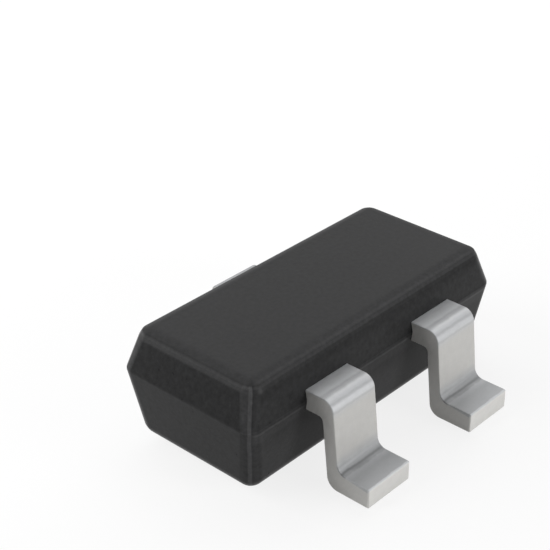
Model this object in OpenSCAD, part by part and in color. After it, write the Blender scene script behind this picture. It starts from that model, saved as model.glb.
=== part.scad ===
// Three-lead surface-mount magnetic sensor: a Hall chip on a stamped lead frame, moulded in black epoxy.
// All sizes are in millimetres and all angles in degrees.
// X runs along the body, the supply and output leads leave towards -Y and the ground lead towards +Y.
// The origin is under the middle of the body, in the plane that the three feet stand on.

/* [Moulded body] */
// Length of the body at the parting line
body_length = 2.9; // [2.7:0.05:3.2]
// Width of the body at the parting line
body_width = 1.32; // [1.24:0.02:1.5]
// Height of the body from its underside to its top face
body_height = 0.94; // [0.9:0.01:1.1]
// Height of the parting line above the underside
parting_height = 0.609; // [0.56:0.001:0.64]
// Height of the narrow upright land at the parting line
parting_land = 0.008; // [0.004:0.001:0.02]
// How far the top face is set in at each end
top_end_inset = 0.1; // [0.06:0.005:0.18]
// How far the top face is set in at each long side
top_side_inset = 0.07; // [0.05:0.002:0.14]
// How far the underside is set in at each end
under_end_inset = 0.095; // [0.06:0.005:0.18]
// How far the underside is set in at each long side
under_side_inset = 0.082; // [0.05:0.001:0.14]
// Radius of the rounded edges around the top face and the underside
edge_radius = 0.125; // [0.06:0.005:0.15]
// Radius of the upright corners at the parting line
corner_radius = 0.105; // [0.05:0.005:0.14]

/* [Leads] */
// Gap between the seating plane and the underside of the body
standoff = 0.06; // [0.01:0.01:0.12]
// Distance between the centre lines of the supply and output leads
lead_pitch = 1.24; // [1.1:0.02:1.9]
// Width of a lead
lead_width = 0.47; // [0.4:0.01:0.54]
// Thickness of the strip at the shoulder, at the foot and inside the body
lead_thickness = 0.166; // [0.14:0.002:0.18]
// Thickness of the leg, which forming has thinned
leg_thickness = 0.112; // [0.09:0.002:0.13]
// Span over the tips of the feet on both sides
lead_span = 2.51; // [2.4:0.01:2.7]
// How far the shoulder reaches out from the parting line before it turns down
shoulder_reach = 0.239; // [0.2:0.001:0.26]
// Lean of the leg outwards from upright
leg_lean = 6.3; // [3:0.1:10]
// Outside radius of the bend from the shoulder into the leg on the supply and output leads
shoulder_bend_radius = 0.1; // [0.06:0.005:0.12]
// The same radius on the ground lead, which is bent more sharply
ground_shoulder_radius = 0.06; // [0.04:0.005:0.1]
// Radius of the fillet under the shoulder
under_shoulder_radius = 0.04; // [0.02:0.005:0.06]
// Radius of the fillet between the leg and the top of the foot
foot_fillet_radius = 0.08; // [0.04:0.005:0.09]
// Outside radius of the heel on the supply and output leads
heel_radius = 0.1; // [0.05:0.005:0.12]
// Outside radius of the heel on the ground lead
ground_heel_radius = 0.05; // [0.04:0.005:0.1]

/* [Lead frame inside the body] */
// How far the supply and output leads reach into the body from the parting line
finger_length = 0.3; // [0.26:0.01:0.34]
// Length of the widened inner end that locks a finger in the epoxy
anchor_length = 0.24; // [0.16:0.01:0.24]
// How far the anchor stands out past the lead on each side
anchor_step = 0.065; // [0.03:0.005:0.09]
// Gap between the fingers and the paddle
frame_gap = 0.12; // [0.08:0.01:0.16]
// Length of the level shelf on the ground lead before it steps down to the paddle
shelf_length = 0.18; // [0.15:0.01:0.2]
// Drop from the shelf to the paddle
paddle_downset = 0.16; // [0.13:0.01:0.18]
// Length of the paddle along the body
paddle_length = 1.4; // [1.1:0.05:1.6]

/* [Sensor chip] */
// Length of the chip along the body
chip_length = 0.76; // [0.6:0.02:0.9]
// Width of the chip across the body
chip_width = 0.4; // [0.32:0.01:0.42]
// Thickness of the chip
chip_thickness = 0.17; // [0.12:0.01:0.2]
// Thickness of the adhesive under the chip
adhesive_thickness = 0.015; // [0.01:0.005:0.03]
// How far the adhesive spreads past the chip on each side
adhesive_spread = 0.02; // [0.01:0.005:0.03]
// Distance of the bond pads from the edges of the chip
pad_inset = 0.07; // [0.05:0.005:0.09]

/* [Bond wires] */
// Diameter of a bond wire
wire_diameter = 0.025; // [0.02:0.001:0.032]
// Height of a wire's arch above the straight line between its ends, at the wire's centre line
loop_height = 0.09; // [0.075:0.005:0.1]
// Diameter of the flattened ball on the chip's pad
ball_diameter = 0.065; // [0.05:0.005:0.08]
// Height of the flattened ball
ball_height = 0.022; // [0.016:0.001:0.026]
// Diameter of the pressed end on the lead
stitch_diameter = 0.06; // [0.045:0.005:0.08]
// Height of the pressed end
stitch_height = 0.022; // [0.016:0.001:0.026]
// Distance of the pressed end from the inner end of a finger, or from the step in the ground lead
stitch_inset = 0.08; // [0.05:0.005:0.1]

/* [Hidden] */

$fn = 48;
rounding_facets = 32;
signal_side = 180; // turn about Z that points a lead's outward direction to -Y

epoxy_black = [0.055, 0.055, 0.058];
tin_grey = [0.72, 0.72, 0.71];
silicon_grey = [0.3, 0.32, 0.38];
adhesive_silver = [0.62, 0.62, 0.64];
wire_gold = [0.9, 0.7, 0.3];

half_length = body_length / 2;
half_width = body_width / 2;
parting_level = standoff + parting_height;
lead_bottom = parting_level - lead_thickness / 2;
lead_top = lead_bottom + lead_thickness;

// Outline of a lead seen along X: u is the distance from the middle of the body, v the height
shoulder_corner = [half_width + shoulder_reach, lead_top];
foot_corner = [leg_front(lead_thickness), lead_thickness];
tip_top = [lead_span / 2, lead_thickness];
tip_bottom = [lead_span / 2, 0];
heel_corner = [leg_back(0), 0];
armpit_corner = [leg_back(lead_bottom), lead_bottom];

finger_end = half_width - finger_length;
shelf_end = half_width - shelf_length;
paddle_back = shelf_end - paddle_downset;
paddle_front = -(finger_end - frame_gap);
paddle_middle = (paddle_front + paddle_back) / 2;
paddle_bottom = lead_bottom - paddle_downset;
paddle_top = paddle_bottom + lead_thickness;
step_shift = lead_thickness * tan(45 / 2); // keeps the strip's thickness round a 45 degree bend

chip_bottom = paddle_top + adhesive_thickness;
chip_top = chip_bottom + chip_thickness;
signal_pad_x = chip_length / 2 - pad_inset;
signal_pad_y = paddle_middle - chip_width / 2 + pad_inset;
ground_pad_y = paddle_middle + chip_width / 2 - pad_inset;
signal_stitch_y = -(finger_end + stitch_inset);
ground_stitch_y = shelf_end + stitch_inset;

// Distance of the leg's front and back faces from the middle of the body, at a height
function leg_front(height) = half_width + shoulder_reach + (lead_top - height) * tan(leg_lean);
function leg_back(height) = leg_front(height) - leg_thickness / cos(leg_lean);

// Inset of the centre of a ball that touches both a flat face and a side that leans in by inset over rise
function ball_inset(inset, rise, radius) =
    (inset * (rise - radius) + radius * sqrt(rise * rise + inset * inset)) / rise;

// A bend of a given radius where the line from a to p turns towards b
function unit(v) = v / norm(v);
function half_angle(a, p, b) = acos(unit(a - p) * unit(b - p)) / 2;
function bend_start(a, p, b, radius) = p + unit(a - p) * radius / tan(half_angle(a, p, b));
function bend_end(a, p, b, radius) = bend_start(b, p, a, radius);
function bend_centre(a, p, b, radius) =
    p + unit(unit(a - p) + unit(b - p)) * radius / sin(half_angle(a, p, b));

// The corner that a bend replaces, as far as the bend's centre
module bend_wedge(a, p, b, radius) {
    polygon([p, bend_start(a, p, b, radius), bend_centre(a, p, b, radius), bend_end(a, p, b, radius)]);
}

module bend_circle(a, p, b, radius) {
    translate(bend_centre(a, p, b, radius)) circle(r = radius);
}

module outer_bend(a, p, b, radius) {
    intersection() {
        bend_wedge(a, p, b, radius);
        bend_circle(a, p, b, radius);
    }
}

// Gull-wing outline of a lead that begins at a distance inner from the middle of the body
module lead_outline(inner, shoulder_radius, sole_radius) {
    top_inner = [inner, lead_top];
    difference() {
        union() {
            polygon([
                top_inner,
                bend_start(top_inner, shoulder_corner, foot_corner, shoulder_radius),
                bend_centre(top_inner, shoulder_corner, foot_corner, shoulder_radius),
                bend_end(top_inner, shoulder_corner, foot_corner, shoulder_radius),
                foot_corner,
                tip_top,
                tip_bottom,
                bend_start(tip_bottom, heel_corner, armpit_corner, sole_radius),
                bend_centre(tip_bottom, heel_corner, armpit_corner, sole_radius),
                bend_end(tip_bottom, heel_corner, armpit_corner, sole_radius),
                armpit_corner,
                [inner, lead_bottom]
            ]);
            outer_bend(top_inner, shoulder_corner, foot_corner, shoulder_radius);
            outer_bend(tip_bottom, heel_corner, armpit_corner, sole_radius);
            bend_wedge(shoulder_corner, foot_corner, tip_top, foot_fillet_radius);
            bend_wedge(heel_corner, armpit_corner, [inner, lead_bottom], under_shoulder_radius);
        }
        bend_circle(shoulder_corner, foot_corner, tip_top, foot_fillet_radius);
        bend_circle(heel_corner, armpit_corner, [inner, lead_bottom], under_shoulder_radius);
    }
}

// Raises an outline in u and v across the width of a strip, with u pointing towards +Y
module across_strip(width) {
    rotate([90, 0, 90]) linear_extrude(height = width, center = true) children();
}

module gull_wing(inner, shoulder_radius, sole_radius) {
    across_strip(lead_width) lead_outline(inner, shoulder_radius, sole_radius);
}

// A flat piece of the strip between two distances from the middle of the body
module flat_strip(width, near, far, bottom) {
    translate([-width / 2, near, bottom]) cube([width, far - near, lead_thickness]);
}

// A lead with a widened finger inside the body, its middle at x = middle
module signal_lead(middle) {
    translate([middle, 0, 0]) rotate([0, 0, signal_side]) {
        gull_wing(finger_end, shoulder_bend_radius, heel_radius);
        flat_strip(lead_width + 2 * anchor_step, finger_end, finger_end + anchor_length, lead_bottom);
    }
}

module supply_lead() {
    color(tin_grey) signal_lead(-lead_pitch / 2);
}

module output_lead() {
    color(tin_grey) signal_lead(lead_pitch / 2);
}

// The ground lead steps down inside the body and carries the chip's paddle
module ground_lead() {
    color(tin_grey) {
        gull_wing(shelf_end, ground_shoulder_radius, ground_heel_radius);
        flat_strip(lead_width, shelf_end, half_width, lead_bottom);
        across_strip(lead_width) polygon([
            [shelf_end, lead_top],
            [paddle_back, paddle_top],
            [paddle_front, paddle_top],
            [paddle_front, paddle_bottom],
            [paddle_back + step_shift, paddle_bottom],
            [shelf_end + step_shift, lead_bottom],
            [shelf_end + step_shift, lead_top]
        ]);
        flat_strip(paddle_length, paddle_front, paddle_back, paddle_bottom);
    }
}

module chip_adhesive() {
    glue_length = chip_length + 2 * adhesive_spread;
    glue_width = chip_width + 2 * adhesive_spread;
    color(adhesive_silver)
        translate([-glue_length / 2, paddle_middle - glue_width / 2, paddle_top])
            cube([glue_length, glue_width, adhesive_thickness]);
}

module sensor_chip() {
    color(silicon_grey)
        translate([-chip_length / 2, paddle_middle - chip_width / 2, chip_bottom])
            cube([chip_length, chip_width, chip_thickness]);
}

// Level of the middle of a wire's end in a ball or a pressed end that is seated at a level
function end_level(seat, height) = seat + max(height, wire_diameter) / 2;

// A wire that arches from a ball on a pad of the chip to a pressed end on a lead
module bond_wire(pad, stitch) {
    span = norm(stitch - pad);
    heading = atan2(stitch[1] - pad[1], stitch[0] - pad[0]);
    pad_end = [0, end_level(chip_top, ball_height)];
    stitch_end = [span, end_level(lead_top, stitch_height)];
    chord = norm(stitch_end - pad_end);
    chord_slope = atan2(stitch_end[1] - pad_end[1], span);
    half_sweep = 2 * atan(2 * loop_height / chord);
    arch_radius = chord / 2 / sin(half_sweep);
    color(wire_gold) translate([pad[0], pad[1], 0]) rotate([0, 0, heading]) {
        translate([0, 0, chip_top]) cylinder(d = ball_diameter, h = ball_height);
        translate([0, 0, pad_end[1]]) rotate([90, -chord_slope, 0])
            translate([chord / 2, loop_height - arch_radius, 0]) rotate([0, 0, 90 - half_sweep])
                rotate_extrude(angle = 2 * half_sweep) translate([arch_radius, 0]) circle(d = wire_diameter);
        translate([span, 0, lead_top]) cylinder(d = stitch_diameter, h = stitch_height);
    }
}

module supply_wire() {
    bond_wire([-signal_pad_x, signal_pad_y], [-lead_pitch / 2, signal_stitch_y]);
}

module output_wire() {
    bond_wire([signal_pad_x, signal_pad_y], [lead_pitch / 2, signal_stitch_y]);
}

module ground_wire() {
    bond_wire([0, ground_pad_y], [0, ground_stitch_y]);
}

// A ball with a point at each pole, so that it reaches the flat face above or below it exactly
module edge_ball() {
    rotate_extrude($fn = rounding_facets) intersection() {
        circle(r = edge_radius, $fn = rounding_facets);
        translate([0, -edge_radius]) square([edge_radius, 2 * edge_radius]);
    }
}

// Four balls that round the edges of the top face or of the underside; up is 1 for the top, -1 for below
module corner_balls(end_inset, side_inset, rise, up) {
    x = half_length - ball_inset(end_inset, rise, edge_radius);
    y = half_width - ball_inset(side_inset, rise, edge_radius);
    z = parting_level + up * (parting_land / 2 + rise - edge_radius);
    for (i = [-1, 1], j = [-1, 1])
        translate([i * x, j * y, z]) edge_ball();
}

// The moulded shape without what it encloses
module epoxy_blank() {
    top_rise = body_height - parting_height - parting_land / 2;
    under_rise = parting_height - parting_land / 2;
    hull() {
        corner_balls(top_end_inset, top_side_inset, top_rise, 1);
        corner_balls(under_end_inset, under_side_inset, under_rise, -1);
        for (i = [-1, 1], j = [-1, 1])
            translate([i * (half_length - corner_radius), j * (half_width - corner_radius), parting_level])
                cylinder(r = corner_radius, h = parting_land, center = true, $fn = rounding_facets);
    }
}

module moulded_body() {
    color(epoxy_black) difference() {
        epoxy_blank();
        supply_lead();
        output_lead();
        ground_lead();
        chip_adhesive();
        sensor_chip();
        supply_wire();
        output_wire();
        ground_wire();
    }
}

moulded_body();
supply_lead();
output_lead();
ground_lead();
chip_adhesive();
sensor_chip();
supply_wire();
output_wire();
ground_wire();
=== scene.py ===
import bmesh
import bpy
import numpy as np
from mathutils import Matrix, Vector


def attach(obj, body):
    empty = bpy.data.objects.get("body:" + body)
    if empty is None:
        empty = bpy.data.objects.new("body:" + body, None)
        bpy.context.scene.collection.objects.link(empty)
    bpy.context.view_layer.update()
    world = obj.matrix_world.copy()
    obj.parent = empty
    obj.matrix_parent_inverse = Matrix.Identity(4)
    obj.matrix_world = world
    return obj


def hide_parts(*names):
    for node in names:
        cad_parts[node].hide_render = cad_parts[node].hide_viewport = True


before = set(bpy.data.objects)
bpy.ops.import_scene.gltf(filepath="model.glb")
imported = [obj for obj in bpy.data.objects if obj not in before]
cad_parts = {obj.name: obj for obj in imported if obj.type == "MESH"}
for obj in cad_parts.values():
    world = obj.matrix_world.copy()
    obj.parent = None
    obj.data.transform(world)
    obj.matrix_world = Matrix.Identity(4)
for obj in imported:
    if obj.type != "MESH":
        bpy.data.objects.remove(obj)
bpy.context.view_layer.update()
mm = 0.001  # lengths in the dictionaries are in millimetres, the scene is in metres
print("frame loaded:", len(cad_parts), "nodes")


# Node boards: a Signal is one socket, and Python operators on it add the Math nodes

class Signal:
    def __init__(self, board, socket):
        self.board, self.socket = board, socket

    def math(self, operation, other=0.0, swapped=False):
        first, second = (other, self) if swapped else (self, other)
        return self.board.put("ShaderNodeMath", {"operation": operation}, {0: first, 1: second})

    def __add__(self, other):
        return self.math("ADD", other)

    def __radd__(self, other):
        return self.math("ADD", other)

    def __sub__(self, other):
        return self.math("SUBTRACT", other)

    def __rsub__(self, other):
        return self.math("SUBTRACT", other, swapped=True)

    def __mul__(self, other):
        return self.math("MULTIPLY", other)

    def __rmul__(self, other):
        return self.math("MULTIPLY", other)

    def __abs__(self):
        return self.math("ABSOLUTE")


class Board:
    def __init__(self, owner):
        owner.use_nodes = True
        self.tree = owner.node_tree
        self.tree.nodes.clear()

    # One node: its settings are set first, then each socket gets a value or a link
    def put(self, kind, settings=None, sockets=None, out=0):
        node = self.tree.nodes.new(kind)
        for key, value in (settings or {}).items():
            setattr(node, key, value)
        for key, value in (sockets or {}).items():
            if isinstance(value, Signal):
                self.tree.links.new(value.socket, node.inputs[key])
            else:
                node.inputs[key].default_value = value
        return Signal(self, node.outputs[out]) if len(node.outputs) else node

    def split(self, vector):  # the three parts of a vector
        parts = self.put("ShaderNodeSeparateXYZ", {}, {0: vector}).socket.node.outputs
        return [Signal(self, part) for part in parts]

    def blend(self, factor, first, second):
        settings = {"data_type": "RGBA", "clamp_factor": True}
        return self.put("ShaderNodeMix", settings, {0: factor, 6: first, 7: second}, out=2)

    def scaled(self, tone, factor):
        return self.put("ShaderNodeVectorMath", {"operation": "SCALE"}, {0: tone, "Scale": factor})

    def step(self, signal, low, high):  # 0 below low, 1 above high, smooth between
        return self.put("ShaderNodeMapRange", {"interpolation_type": "SMOOTHSTEP"},
                        {"Value": signal, "From Min": low, "From Max": high})

    # Soft lines across a way, added up: each has its middle, half width, soft edge and strength
    def lines(self, way, plan):
        return sum((1 - self.step(abs(way - middle), half, half + soft)) * strength
                   for middle, half, soft, strength in plan)

    def stretch(self, place, scale):
        return self.put("ShaderNodeMapping", {}, {"Vector": place, "Scale": scale})

    def noise(self, place, kind):  # 0.5 on average; kind is its scale, detail and roughness
        scale, detail, roughness = kind
        return self.put("ShaderNodeTexNoise", {}, {"Vector": place, "Scale": scale, "Detail": detail,
                                                   "Roughness": roughness})

    def surfacePlace(self):
        return self.put("ShaderNodeAttribute", {"attribute_name": "surfacePlace"}, out="Vector")

    def bump(self, height, strength, distance):
        return self.put("ShaderNodeBump", {}, {"Height": height, "Strength": strength, "Distance": distance})

    def surface(self, sockets):
        shader = self.put("ShaderNodeBsdfPrincipled", {}, sockets)
        self.put("ShaderNodeOutputMaterial", {}, {"Surface": shader})


def grey(level):
    return (level, level, level, 1.0)


# Mesh helpers

meshLimits = {"merge": 2e-9, "thinnest": 1e-9}  # metres: nearer points become one, shorter edges go


def finishedPiece(name, points, faces, place):
    # points in millimetres; doubles are merged, so seams and poles close, and faces are turned outwards.
    # place gives each point the surface coordinates that its material reads
    mesh = bpy.data.meshes.new(name)
    mesh.from_pydata(points * mm, [], faces)
    surfacePlace = mesh.attributes.new("surfacePlace", "FLOAT_VECTOR", "POINT")
    surfacePlace.data.foreach_set("vector", place.astype(np.float32).ravel())
    work = bmesh.new()
    work.from_mesh(mesh)
    bmesh.ops.remove_doubles(work, verts=work.verts, dist=meshLimits["merge"])
    bmesh.ops.dissolve_degenerate(work, edges=work.edges, dist=meshLimits["thinnest"])
    bmesh.ops.recalc_face_normals(work, faces=work.faces)
    openEdges = sum(len(edge.link_faces) != 2 for edge in work.edges)
    work.to_mesh(mesh)
    work.free()
    mesh.shade_smooth()
    piece = bpy.data.objects.new(name, mesh)
    bpy.context.scene.collection.objects.link(piece)
    print("  ", name, len(mesh.polygons), "faces,", openEdges, "open edges")
    return piece


def gridFaces(rows, columns):
    # quads between neighbours of a grid that is numbered row by row and whose last column meets its first
    row, column = np.meshgrid(np.arange(rows - 1), np.arange(columns), indexing="ij")
    near, far = row * columns + column, row * columns + (column + 1) % columns
    return np.stack([near, far, far + columns, near + columns], -1).reshape(-1, 4).tolist()


# Moulded body

bodyShape = {
    "length": 2.9, "width": 1.32, "underside": 0.06, "top": 1.0,
    "partingLevel": 0.664, "land": 0.018,      # middle and height of the upright land at the parting line
    "topInset": (0.1, 0.07),                   # at the ends, at the long sides
    "underInset": (0.095, 0.082),
    "edgeRadius": 0.125, "cornerRadius": 0.105,
    # each rounded edge has two nearly straight flanks that meet in a soft crease: where it lies (degrees
    # round the edge), how far the flanks lean away from it on each side, and how softly it turns
    "topCrease": (40.0, 20.0, 2.5), "underCrease": (40.0, 10.0, 4.0), "cornerCrease": (34.0, 14.0, 3.0),
    "turnSteps": 4, "flankSteps": 3, "creaseSteps": 10,
    "softReach": 3,                            # the close steps go this many times the softness to each side
    "support": 0.005,                          # rows this near an edge keep the flat faces flat
    "cornerPlaceStep": 0.02,                   # sets the corner coordinate of the flat faces apart
}


def ballInset(inset, rise, radius):
    # distance in from the parting line of a ball's centre that touches the flat face and the side
    return (inset * (rise - radius) + radius * np.hypot(rise, inset)) / rise


def creaseStops(shape, crease):
    # angles from 0 to 90 degrees, close together in the crease
    middle, spread, soft = crease
    reach = shape["softReach"] * soft
    marks = sorted((0, middle - spread, middle - reach, middle + reach, middle + spread, 90))
    turn, flank = shape["turnSteps"], shape["flankSteps"]
    counts = (turn, flank, shape["creaseSteps"], flank, turn)
    parts = [np.linspace(a, b, count + 1)[:-1] for a, b, count in zip(marks[:-1], marks[1:], counts)]
    return np.concatenate([*parts, [90]])


def creaseSwell(angle, crease):
    # radius of the creased arc over the plain one's: 1 / cos(spread - |angle - middle|), with a soft |x|
    middle, spread, soft = np.radians(crease)
    return 1 / np.cos(np.maximum(spread - np.hypot(angle - middle, soft), 0))


def bodyStations(shape):
    # one column of the grid per heading: each corner turns a quarter, and a support stands beyond each of its
    # ends. Gives the heading, which corner it is in x and y, the supports' slide along the flat sides, the
    # crease's swell, and the way round the corner from its crease towards the body's end
    stops = creaseStops(shape, shape["cornerCrease"])
    withSupports = np.r_[0, np.arange(len(stops)), len(stops) - 1]
    columns = []
    for quarter, side in enumerate([(1, 1), (-1, 1), (-1, -1), (1, -1)]):
        mirrored = quarter % 2 == 1
        fromEnd = (stops[::-1] if mirrored else stops)[withSupports]  # degrees from the end's own heading
        heading = np.radians(90 * quarter + (90 - fromEnd if mirrored else fromEnd))
        slide = np.zeros((len(heading), 2))
        slide[0] = np.array([np.sin(heading[0]), -np.cos(heading[0])]) * shape["support"]
        slide[-1] = np.array([-np.sin(heading[-1]), np.cos(heading[-1])]) * shape["support"]
        swell = creaseSwell(np.radians(fromEnd), shape["cornerCrease"])
        cornerPlace = np.radians(shape["cornerCrease"][0] - fromEnd) * shape["cornerRadius"]
        outward = shape["cornerPlaceStep"] * np.sign(cornerPlace[-1] - cornerPlace[0])
        cornerPlace[[0, -1]] += (-outward, outward)
        columns.append((heading, np.tile(side, (len(heading), 1)), slide, swell, cornerPlace))
    return [np.concatenate(part) for part in zip(*columns)]


def bodyHalf(shape, inset, crease, landLevel, flatLevel):
    # rows from the flat face to the land: a rounded edge, then a straight side that is the tangent from the
    # parting line to the ball which rounds the edge. So the edge turns from level to 90 degrees less
    # lean = arccos(radius / distance) - slope, both of the line from the ball's centre to the parting line
    rise, up = abs(flatLevel - landLevel), np.sign(flatLevel - landLevel)
    radius, corner, support = shape["edgeRadius"], shape["cornerRadius"], shape["support"]
    heading, side, slide, swell, cornerPlace = bodyStations(shape)
    out = np.stack([np.cos(heading), np.sin(heading)], -1)
    half = np.array([shape["length"], shape["width"]]) / 2
    ball = ballInset(np.array(inset), rise, radius)
    reach = np.abs(out) @ (ball - corner) + corner
    drop = rise - radius
    lean = np.arccos(radius / np.hypot(reach, drop)) - np.arctan2(drop, reach)

    # turned is the angle round the edge: as it comes up to the crease's end, then drawn in to end at the lean
    angle = np.radians(creaseStops(shape, crease))[:, None]
    creaseEnd = np.radians(crease[0] + crease[1])
    share = (angle - creaseEnd) / (np.pi / 2 - creaseEnd)
    turned = np.where(share <= 0, angle, creaseEnd + (np.pi / 2 - lean - creaseEnd) * share)
    bulge = radius * creaseSwell(turned, crease)
    level = landLevel + up * (drop + bulge * np.cos(turned))
    edge = side * (half - ball) + slide + (bulge * np.sin(turned) * swell)[..., None] * out
    edge = np.concatenate([edge, level[..., None]], -1)
    foot = side * (half - corner) + slide + (corner * swell)[:, None] * out
    foot = np.concatenate([foot, np.full((len(out), 1), landLevel)], -1)
    flat = edge[0] - np.concatenate([side * support + slide, np.zeros((len(out), 1))], -1)
    run = foot - edge[-1]
    length = np.linalg.norm(run, axis=1)
    bit = run * support / length[:, None]
    grid = np.stack([flat, *edge, edge[-1] + bit, foot - bit, foot])

    # surface coordinates: way past the crease of this edge, with 1 on the land; way from the corner's crease
    # towards the end; 0.5 at the ends to 1 at the long sides, negative on the lower half below the land
    edgePlace = (turned - np.radians(crease[0])) * radius
    lastPlace = edgePlace[-1] + length - support
    edgePlace = np.stack([edgePlace[0] - support, *edgePlace, edgePlace[-1] + support, lastPlace,
                          np.ones(len(out))])
    towardsSide = 0.5 + 0.5 * np.abs(np.sin(heading))
    sidePlace = np.stack([up * towardsSide] * (len(edgePlace) - 1) + [towardsSide])
    return grid, np.stack(np.broadcast_arrays(edgePlace, cornerPlace, sidePlace), -1)


def makeBody(shape):
    # the two halves meet in the land, and the top and the underside each close with one face
    landTop = shape["partingLevel"] + shape["land"] / 2
    landBottom = shape["partingLevel"] - shape["land"] / 2
    upper, upperPlace = bodyHalf(shape, shape["topInset"], shape["topCrease"], landTop, shape["top"])
    lower, lowerPlace = bodyHalf(shape, shape["underInset"], shape["underCrease"], landBottom,
                                 shape["underside"])
    grid = np.concatenate([upper, lower[::-1]])
    place = np.concatenate([upperPlace, lowerPlace[::-1]])
    rows, columns = grid.shape[:2]
    faces = gridFaces(rows, columns)
    faces += [list(range(columns)), list(range((rows - 1) * columns, rows * columns))]
    return finishedPiece("epoxyBody", grid.reshape(-1, 3), faces, place.reshape(-1, 3))


# Leads

leadShape = {
    "width": 0.47, "thickness": 0.166, "legThickness": 0.112,
    "top": 0.752, "bodyHalfWidth": 0.66, "span": 2.51,
    "shoulderReach": 0.239, "legLean": 6.3,    # out from the parting line; degrees from upright
    "shoulderRadius": 0.1, "armpitRadius": 0.04, "footFillet": 0.08, "heelRadius": 0.1,
    "tipRadius": 0.012, "edgeRadius": 0.007,   # the slight rounding that stamping and plating leave
    "hiddenUntil": 0.615,                      # inside the epoxy the edges are sharp
    "bendSteps": 14, "edgeSteps": 4, "tipSteps": 4, "support": 0.004,
    "pitch": 1.24, "fingerEnd": 0.36, "anchorEnd": 0.6, "anchorHalfWidth": 0.3,
    "shelfEnd": 0.48, "paddleBack": 0.32, "paddleFront": -0.24, "paddleHalfWidth": 0.7, "paddleDrop": 0.16,
    "paddleStep": 45.0,                        # slope of the step down to the paddle, degrees
    "groundBends": {"shoulderRadius": 0.06, "heelRadius": 0.05},  # the single lead is bent more sharply
}


def unit(vector):
    return vector / np.linalg.norm(vector)


def bend(before, corner, after, radius, steps, convex, support):
    # the arc that rounds a corner, with a support on the straight line at each side, and its outward normals.
    # Its spokes turn evenly: (sin((1 - share) total) first + sin(share total) last) / sin(total)
    toBefore, toAfter = unit(before - corner), unit(after - corner)
    half = np.arccos(toBefore @ toAfter) / 2
    centre = corner + unit(toBefore + toAfter) * radius / np.sin(half)
    tangent = radius / np.tan(half)
    start, end = corner + toBefore * tangent, corner + toAfter * tangent
    share = np.linspace(0, 1, steps + 1)[:, None]
    total = np.pi - 2 * half
    spoke = np.sin((1 - share) * total) * (start - centre) + np.sin(share * total) * (end - centre)
    spoke = spoke / np.sin(total)
    points = np.concatenate([[start + toBefore * support], centre + spoke, [end + toAfter * support]])
    normals = (1 if convex else -1) * np.concatenate([spoke[:1], spoke, spoke[-1:]]) / radius
    return points, normals


def joined(parts):
    # the points of all parts in one array, and their normals in another
    return [np.concatenate(each) for each in zip(*parts)]


def leadOutline(shape, inner):
    # outer and inner edge of the strip seen from its side, paired point by point, then the tip that joins
    # them. inner gives the pairs of points inside the body, from the far end outwards
    top, thickness, support = shape["top"], shape["thickness"], shape["support"]
    low, tipAt = top - thickness, shape["span"] / 2
    lean = np.radians(shape["legLean"])
    shoulder = shape["bodyHalfWidth"] + shape["shoulderReach"]
    back = shape["legThickness"] / np.cos(lean)

    def front(level):
        return shoulder + (top - level) * np.tan(lean)

    def turns(corners, radii, convex, steps):
        return [bend(*corners[i:i + 3], radii[i], steps, convex[i], support) for i in range(len(radii))]

    outerStart, underStart = np.array(inner).transpose(1, 0, 2)
    outer = np.array([outerStart[-1], (shoulder, top), (front(thickness), thickness), (tipAt, thickness)])
    under = np.array([underStart[-1], (front(low) - back, low), (front(0) - back, 0), (tipAt, 0)])
    tip = np.array([outer[2], outer[3], under[3], under[2]])
    bendSteps, tipRadius = shape["bendSteps"], shape["tipRadius"]
    outerBends = turns(outer, (shape["shoulderRadius"], shape["footFillet"]), (True, False), bendSteps)
    underBends = turns(under, (shape["armpitRadius"], shape["heelRadius"]), (False, True), bendSteps)
    tipBends = turns(tip, (tipRadius, tipRadius), (True, True), shape["tipSteps"])
    upwards = np.tile((0.0, 1.0), (len(inner), 1))
    outerPoints, outerNormals = joined([(outerStart, upwards), *outerBends])
    underPoints, underNormals = joined([(underStart, -upwards), *underBends])
    tipPoints, tipNormals = joined(tipBends)
    loop = np.concatenate([outerPoints, tipPoints, underPoints[::-1]])
    normals = np.concatenate([outerNormals, tipNormals, underNormals[::-1]])
    return loop, normals, len(outerPoints)


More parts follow.
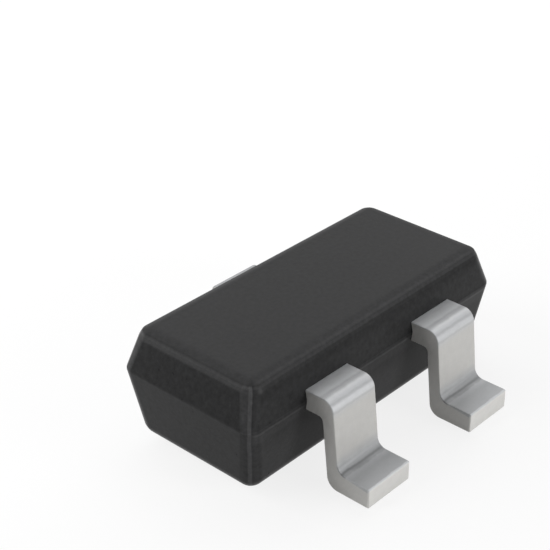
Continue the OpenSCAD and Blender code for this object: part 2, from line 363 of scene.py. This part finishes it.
def makeLead(name, shape, inner, earHalf, middle, towards):
    # the outline is carried across the strip; near each side it moves inwards on a quarter circle, which
    # rounds the edges: inwards = radius (1 - cos turn) where across = half - radius (1 - sin turn). The
    # widened end inside the body is a pair of ears between the first two stations, which reach to earHalf.
    # middle is the lead's place along the body; towards is 1 for the far long side and -1 for the near one
    loop, normals, pairs = leadOutline(shape, inner)
    count, half = len(loop), shape["width"] / 2
    shown = loop[:, 0] >= shape["hiddenUntil"]
    radius = np.where(shown, shape["edgeRadius"], 0.0)
    support = np.where(shown, shape["support"], 0.0)
    turn = np.linspace(np.pi / 2, 0, shape["edgeSteps"] + 1)[:, None]
    moveIn = np.concatenate([(radius + support)[None], radius * (1 - np.cos(turn)), np.zeros((1, count))])
    across = np.concatenate([np.full((1, count), half), half - radius * (1 - np.sin(turn)),
                             (half - radius - shape["support"])[None]])
    moveIn, across = np.concatenate([moveIn, moveIn[::-1]]), np.concatenate([-across, across[::-1]])
    flat = loop - moveIn[..., None] * normals
    rows = len(flat)
    grid = np.stack([across, flat[..., 0], flat[..., 1]], -1)

    # surface coordinates: way along the strip, which is about 0 where it comes out of the body, way across
    # it, and depth below its outer face
    outerWay = np.cumsum(np.r_[0, np.linalg.norm(np.diff(loop[:pairs], axis=0), axis=1)])
    outerWay -= outerWay[len(inner) - 1]
    tip = loop[pairs:count - pairs]
    way = np.concatenate([outerWay, outerWay[-1] + tip[:, 0] - loop[pairs - 1, 0], outerWay[::-1]])
    through = np.linalg.norm(loop[:pairs] - loop[count - pairs:][::-1], axis=1)
    depth = np.concatenate([np.zeros(pairs), shape["thickness"] - tip[:, 1], through[::-1]])
    depth = depth + moveIn * np.where(np.arange(count) < pairs, 1, -1)
    place = np.stack(np.broadcast_arrays(way, across, depth), -1)

    # side faces, tip and ears, on the first and the last row
    faces, points, places = gridFaces(rows, count), [grid.reshape(-1, 3)], [place.reshape(-1, 3)]
    ring = [0, 1, count - 2, count - 1]
    for row, sign in ((0, -1), (rows - 1, 1)):
        start, ear = row * count, sum(len(part) for part in points)
        faces += [[start + k, start + k + 1, start + count - 2 - k, start + count - 1 - k]
                  for k in range(1, pairs - 1)]
        faces.append(list(range(start + pairs - 1, start + count - pairs + 1)))
        ears = grid[row][ring]
        ears[:, 0] = sign * earHalf
        points.append(ears)
        places.append(place[row][ring])
        for a, b in ((0, 1), (1, 2), (2, 3), (3, 0)):
            faces.append([start + ring[a], start + ring[b], ear + b, ear + a])
        faces.append(list(range(ear, ear + 4)))
    points = np.concatenate(points)
    placed = np.stack([middle + towards * points[:, 0], towards * points[:, 1], points[:, 2]], -1)
    return finishedPiece(name, placed, faces, np.concatenate(places))


def signalInner(shape):
    # pairs of points on the outer and the inner edge inside the body: distance from the middle, and level
    top, low = shape["top"], shape["top"] - shape["thickness"]
    outs = [shape[key] for key in ("fingerEnd", "anchorEnd", "hiddenUntil")]
    return [((out, top), (out, low)) for out in outs]


def groundInner(shape):
    # the same for the single lead, which steps down to the chip's paddle; slip keeps its step as thick
    top, low, drop = shape["top"], shape["top"] - shape["thickness"], shape["paddleDrop"]
    front, back, shelf = shape["paddleFront"], shape["paddleBack"], shape["shelfEnd"]
    slip = shape["thickness"] * np.tan(np.radians(shape["paddleStep"] / 2))
    return [((front, top - drop), (front, low - drop)), ((back, top - drop), (back, low - drop)),
            ((back, top - drop), (back + slip, low - drop)), ((shelf, top), (shelf + slip, low)),
            ((shape["hiddenUntil"], top), (shape["hiddenUntil"], low))]


print("meshes")
groundShape = {**leadShape, **leadShape["groundBends"]}
halfPitch = leadShape["pitch"] / 2
anchorHalf, paddleHalf = leadShape["anchorHalfWidth"], leadShape["paddleHalfWidth"]
body = makeBody(bodyShape)
supplyLead = makeLead("supplyStrip", leadShape, signalInner(leadShape), anchorHalf, -halfPitch, -1)
outputLead = makeLead("outputStrip", leadShape, signalInner(leadShape), anchorHalf, halfPitch, -1)
groundLead = makeLead("groundStrip", groundShape, groundInner(groundShape), paddleHalf, 0.0, 1)
for piece, node, slot in ((body, "moulded_body", "mould_epoxy"), (supplyLead, "supply_lead", "tinned_lead"),
                          (outputLead, "output_lead", "tinned_lead"),
                          (groundLead, "ground_lead", "tinned_lead")):
    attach(piece, "root")
    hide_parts(node)


# Materials

epoxyLook = {
    "tone": (0.0212, 0.0212, 0.021624), "speckTone": 0.04664, "roughness": 0.32, "specular": 0.065,
    # noises: scale per metre, detail, roughness
    "cloud": (2200.0, 4.0, 0.55), "grain": (26000.0, 3.0, 0.6), "filler": (60000.0, 1.0, 0.55),
    "cloudShare": 0.1, "grainShare": 1.05,     # how far they change the tone
    "specks": (0.66, 0.78), "speckShare": 0.35,  # the filler noise where a speck starts and is full
    "cloudRoughness": 0.08, "grainRoughness": 0.18,
    "bump": 0.6, "grainHeight": 0.9e-6, "speckHeight": 0.3,  # the grain's height in metres
    # painted highlights: paler lines where light catches the edges' creases, the corners and the long sides:
    # middle, half width, soft edge, strength, in mm
    "edgeHighlights": [(0.016, 0.005, 0.012, 0.65), (0.024, 0.024, 0.012, 0.25), (-0.045, 0.03, 0.02, 0.55)],
    "cornerHighlights": [(-0.012, 0.007, 0.012, 1.6), (-0.04, 0.015, 0.03, 0.5), (0.02, 0.015, 0.02, 0.45)],
    "upperCornerHighlights": [(-0.012, 0.007, 0.012, 0.8), (0.03, 0.02, 0.02, 0.75)],
    "upperSideHighlights": [(-0.012, 0.006, 0.02, 0.5), (-0.02, 0.01, 0.05, 0.45), (0.22, 0.06, 0.08, 0.33),
                       (1.0, 0.2, 0.2, 0.4)],
    "lowerSideHighlights": [(0.55, 0.03, 0.06, 0.38), (0.571, 0.005, 0.009, 0.8)],
    "lineGrain": 0.8, "lineLeast": 0.6,        # the lines' strength grows with the grain, from the least
    "wobble": (9000.0, 3.0, 0.55), "wobbleReach": 0.008,
    "dullLines": [(-0.035, 0.04, 0.03, 0.28)],  # rougher flanks along the edges
    # where the painted highlights start and are full: past the edge's crease, on the upper half, on a long
    # side
    "pastCrease": (-0.01, 0.01), "upperHalf": (-0.1, 0.1), "longSide": (0.85, 0.97),
}


def epoxyMaterial(look):
    # matt moulding compound: a dark grey that clouds slightly, with the fine grain of the mould's texture,
    # paler specks of filler, and painted highlights: paler lines along the edges, corners and the parting
    # line
    material = bpy.data.materials.new("mouldEpoxy")
    board = Board(material)
    place = board.put("ShaderNodeTexCoord", out="Object")
    cloud, grain = board.noise(place, look["cloud"]), board.noise(place, look["grain"])
    specks = board.step(board.noise(place, look["filler"]), *look["specks"])

    edgeWay, cornerWay, sideways = board.split(board.surfacePlace())
    wobble = (board.noise(place, look["wobble"]) - 0.5) * look["wobbleReach"]
    alongEdge, alongCorner = edgeWay + wobble, cornerWay + wobble
    # painted highlights: pale lines along the corners, stronger on their upper half, along the edges, and on
    # the long sides above and below the parting line
    upperHalf = board.step(sideways, *look["upperHalf"])
    corner = board.lines(alongCorner, look["upperCornerHighlights"]) * upperHalf
    corner = corner + board.lines(alongCorner, look["cornerHighlights"])
    paintedUpperSide = board.lines(alongEdge, look["upperSideHighlights"]) * board.step(sideways, *look["longSide"])
    paintedLowerSide = board.lines(alongEdge, look["lowerSideHighlights"]) * board.step(0 - sideways, *look["longSide"])
    paintedHighlights = board.lines(alongEdge, look["edgeHighlights"]) + corner * board.step(edgeWay, *look["pastCrease"])
    paintedHighlights = (paintedHighlights + paintedUpperSide + paintedLowerSide) * (grain * look["lineGrain"] + look["lineLeast"])

    shade = (cloud - 0.5) * look["cloudShare"] + (grain - 0.5) * look["grainShare"] + 1.0 + paintedHighlights
    darkTone = board.scaled(look["tone"], shade)
    rough = (grain - 0.5) * look["grainRoughness"] + (cloud - 0.5) * look["cloudRoughness"]
    rough = rough + look["roughness"] + board.lines(edgeWay, look["dullLines"])
    height = grain + specks * look["speckHeight"]
    board.surface({
        "Base Color": board.blend(specks * look["speckShare"], darkTone, grey(look["speckTone"])),
        "Roughness": rough, "Specular IOR Level": look["specular"],
        "Normal": board.bump(height, look["bump"], look["grainHeight"])})
    return material


tinLook = {
    "warm": (0.518, 0.512, 0.496, 1.0), "cool": (0.498, 0.506, 0.516, 1.0),
    "metallic": 0.3, "specular": 0.05, "roughness": 0.5,
    # noises: scale per millimetre, detail, roughness
    "blotches": (16.0, 4.0, 0.6), "streaks": (34.0, 3.0, 0.6), "grain": (60.0, 3.0, 0.65),
    "blotchShare": 0.14, "grainShare": 0.12, "streakShare": 0.04, "formedStreakShare": 0.16,
    "streakStretch": (1.0, 0.07, 0.3),         # streaks run across the strip
    "streakRoughness": 0.12, "grainRoughness": 0.15,
    "bump": 0.5, "grainHeight": 0.8e-6, "streakHeight": 0.6,  # the grain's height in metres
    "wander": (9.0, 2.0, 0.55), "wanderStretch": (0.3, 1.0, 1.0), "wanderReach": 0.03,
    # painted shade: darker bands across the strip at the shoulder, the bends, the foot fillet and the foot:
    # middle, half width, soft edge, strength
    "marks": [(0.14, 0.03, 0.06, 0.15), (0.185, 0.012, 0.028, 0.2), (0.272, 0.004, 0.012, 0.1),
              (0.336, 0.004, 0.012, 0.08), (0.775, 0.02, 0.05, 0.08), (0.825, 0.025, 0.035, 0.3),
              (0.86, 0.012, 0.02, 0.26), (1.02, 0.07, 0.06, 0.19)],
    "outerFace": (0.004, 0.014),               # the painted shade marks and the cool tint fade out between these depths
    "cut": (1.086, 1.094), "tipHighlightShare": 0.25,   # the sheared tip is painted brighter, a painted highlight: from, full
    "legSpan": (0.3, 0.4, 0.68, 0.82),         # the warmer stretch: from, full, until, gone
}
# the single lead's sharper shoulder gets one broader mark of painted shade, and its tin is duller
groundTinLook = {**tinLook, "roughness": 0.68, "marks": [(0.2, 0.05, 0.05, 0.32), *tinLook["marks"][2:]]}


def tinMaterial(name, look):
    # matt tin on a formed strip: a crystalline grain and blotches, streaks across the strip that are stronger
    # at its bends and foot, painted shade there as darker marks, a painted highlight on the tip, and a slow
    # change from a cool to a warm grey
    material = bpy.data.materials.new(name)
    board = Board(material)
    place = board.surfacePlace()
    along, depth = board.split(place)[::2]
    wander = board.noise(board.stretch(place, look["wanderStretch"]), look["wander"])
    way = along + (wander - 0.5) * look["wanderReach"]
    blotches, grain = board.noise(place, look["blotches"]), board.noise(place, look["grain"])
    streaks = board.noise(board.stretch(place, look["streakStretch"]), look["streaks"])
    outside = 1 - board.step(depth, *look["outerFace"])
    formed = 1 - board.step(way, *look["legSpan"][:2]) + board.step(way, *look["legSpan"][2:])

    streakShare = formed * look["formedStreakShare"] + look["streakShare"]
    shade = (blotches - 0.5) * look["blotchShare"] + (grain - 0.5) * look["grainShare"] + 1.0
    shade = shade + (streaks - 0.5) * streakShare
    # painted shade: darker marks across the shoulder, bends and foot
    shade = shade * (1 - board.lines(way, look["marks"]) * outside * (streaks + 0.5))
    # painted highlight: the tip is brighter
    shade = shade + board.step(way, *look["cut"]) * look["tipHighlightShare"]
    tint = board.blend(formed * outside, look["warm"], look["cool"])
    rough = (streaks - 0.5) * look["streakRoughness"] + (grain - 0.5) * look["grainRoughness"]
    rough = rough + look["roughness"]
    height = grain + streaks * formed * look["streakHeight"]
    board.surface({
        "Base Color": board.scaled(tint, shade),
        "Metallic": look["metallic"], "Roughness": rough, "Specular IOR Level": look["specular"],
        "Normal": board.bump(height, look["bump"], look["grainHeight"])})
    return material


# the pieces that the epoxy hides, and what the three looks have in common
insideLooks = {
    "passivatedSilicon": {"tones": ((0.19, 0.21, 0.27, 1.0), (0.26, 0.25, 0.3, 1.0)), "metallic": 0.3,
                          "roughness": 0.3, "grain": (60000.0, 3.0, 0.6), "grainHeight": 2e-7},
    "silverGlue": {"tones": ((0.55, 0.55, 0.56, 1.0), (0.3, 0.3, 0.3, 1.0)), "metallic": 0.6,
                   "roughness": 0.55, "grain": (90000.0, 3.0, 0.6), "grainHeight": 8e-7},
    "drawnGold": {"tones": ((0.83, 0.6, 0.22, 1.0), (0.74, 0.5, 0.17, 1.0)), "metallic": 1.0,
                  "roughness": 0.25, "grain": (150000.0, 3.0, 0.6), "grainHeight": 3e-7},
}
insideShares = {"tones": (0.35, 0.65), "roughness": 0.2, "bump": 0.5}


def insideMaterial(name, look, shares):
    # two tones in a fine grain, with a matching unevenness
    material = bpy.data.materials.new(name)
    board = Board(material)
    grain = board.noise(board.put("ShaderNodeTexCoord", out="Object"), look["grain"])
    board.surface({
        "Base Color": board.blend(board.step(grain, *shares["tones"]), *look["tones"]),
        "Metallic": look["metallic"], "Roughness": (grain - 0.5) * shares["roughness"] + look["roughness"],
        "Normal": board.bump(grain, shares["bump"], look["grainHeight"])})
    return material


epoxy = epoxyMaterial(epoxyLook)
tin, groundTin = tinMaterial("mattTin", tinLook), tinMaterial("dullTin", groundTinLook)
silicon, glue, gold = [insideMaterial(name, look, insideShares) for name, look in insideLooks.items()]
for piece, material in ((body, epoxy), (supplyLead, tin), (outputLead, tin), (groundLead, groundTin)):
    piece.data.materials.append(material)
for node, material in (("sensor_chip", silicon), ("chip_adhesive", glue), ("supply_wire", gold),
                       ("output_wire", gold), ("ground_wire", gold)):
    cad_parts[node].data.materials.clear()
    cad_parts[node].data.materials.append(material)
print("materials")


# Studio

studio = {
    "floorHalf": 80.0, "floorDrop": 0.001, "floorTone": 0.86,
    "shadowShare": 0.2,                        # how much of the floor's look comes from the light on it
    "shadowReach": (5.0, 14.0),                # that share fades out between these, so no horizon shows
    "glow": 1.035,                             # makes up for what the matt share lacks, so the sum is white
    "backdrop": 1.0,                           # what the camera, glosses and glass see: white
    "skyLevel": 0.09,                          # light from all round, beside the lamps
    "lampDistance": 20.0, "aim": (0.0, 0.0, 0.5),
}


def backdropRays(board):  # 1 for what the camera sees, straight or in a gloss or through glass
    path = board.put("ShaderNodeLightPath").socket.node
    camera, gloss, glass = [Signal(board, path.outputs[name])
                            for name in ("Is Camera Ray", "Is Glossy Ray", "Is Transmission Ray")]
    return camera.math("MAXIMUM", gloss).math("MAXIMUM", glass)


def makeFloor(plan):
    # a square; the camera sees a white glow with a share of the matt floor in it, which holds the shadow
    half = plan["floorHalf"]
    corners = np.array([(-half, -half), (half, -half), (half, half), (-half, half)], float)
    mesh = bpy.data.meshes.new("studioFloor")
    mesh.from_pydata(np.c_[corners, np.full(4, -plan["floorDrop"])] * mm, [], [(0, 1, 2, 3)])
    floor = bpy.data.objects.new("studioFloor", mesh)
    bpy.context.scene.collection.objects.link(floor)
    material = bpy.data.materials.new("paleFloor")
    board = Board(material)
    matt = board.put("ShaderNodeBsdfDiffuse", {}, {"Color": grey(plan["floorTone"])})
    glow = board.put("ShaderNodeEmission", {}, {"Color": grey(1.0), "Strength": plan["glow"]})
    spot = board.put("ShaderNodeTexCoord", out="Object")
    away = board.put("ShaderNodeVectorMath", {"operation": "LENGTH"}, {0: spot}, out="Value")
    near, far = plan["shadowReach"]
    share = (1 - board.step(away, near * mm, far * mm)) * plan["shadowShare"]
    look = board.put("ShaderNodeMixShader", {}, {0: backdropRays(board) * (1 - share), 1: matt, 2: glow})
    board.put("ShaderNodeOutputMaterial", {}, {"Surface": look})
    floor.data.materials.append(material)


def makeWorld(plan):
    world = bpy.data.worlds.new("paleStudio")
    bpy.context.scene.world = world
    board = Board(world)
    sky, backdrop = [board.put("ShaderNodeBackground", {}, {"Color": grey(1.0), "Strength": plan[key]})
                     for key in ("skyLevel", "backdrop")]
    look = board.put("ShaderNodeMixShader", {}, {0: backdropRays(board), 1: sky, 2: backdrop})
    board.put("ShaderNodeOutputWorld", {}, {"Surface": look})


lamps = [
    # name, azimuth from the -Y side towards +X, elevation, half angle that the lamp fills, brightness
    ("frontBox", 15, 12, 13.5, 9.5),
    ("backBox", 165, 45, 24, 2.25),
    ("leftBackBox", 225, 25, 24, 4.25),
    ("rightBox", 105, 45, 24, 1.75),
]


def makeLamps(lampPlans, plan):
    # round lamps on a sphere round the part, all facing it; a disc of brightness L has the power L pi area
    aim, distance = Vector(plan["aim"]) * mm, plan["lampDistance"] * mm
    for name, azimuth, elevation, halfAngle, level in lampPlans:
        turn, lift, spread = np.radians((azimuth, elevation, halfAngle))
        radius = distance * np.tan(spread)
        away = Vector((np.sin(turn) * np.cos(lift), -np.cos(turn) * np.cos(lift), np.sin(lift)))
        light = bpy.data.lights.new(name, "AREA")
        light.shape, light.size = "DISK", 2 * radius
        light.energy = level * np.pi * np.pi * radius ** 2
        lamp = bpy.data.objects.new(name, light)
        lamp.location = aim + away * distance
        lamp.rotation_euler = (-away).to_track_quat("-Z", "Y").to_euler()
        bpy.context.scene.collection.objects.link(lamp)


view = {  # fitted to the corners of the body and the near leads in the photo
    "place": (-7.2666, -6.1668, 6.5982), "aim": (-0.0031, 0.4239, 0.9233),
    "lens": 93.76, "sensorWidth": 36.0, "clip": (0.5, 1000.0),
}


def makeCamera(plan):
    data = bpy.data.cameras.new("camera")
    data.lens, data.sensor_width = plan["lens"], plan["sensorWidth"]
    data.clip_start, data.clip_end = plan["clip"][0] * mm, plan["clip"][1] * mm
    camera = bpy.data.objects.new("camera", data)
    camera.location = Vector(plan["place"]) * mm
    camera.rotation_euler = (Vector(plan["aim"]) - Vector(plan["place"])).to_track_quat("-Z", "Y").to_euler()
    bpy.context.scene.collection.objects.link(camera)
    bpy.context.scene.camera = camera


makeFloor(studio)
makeWorld(studio)
makeLamps(lamps, studio)
makeCamera(view)
bpy.context.scene.view_settings.view_transform = "Standard"
print("studio")
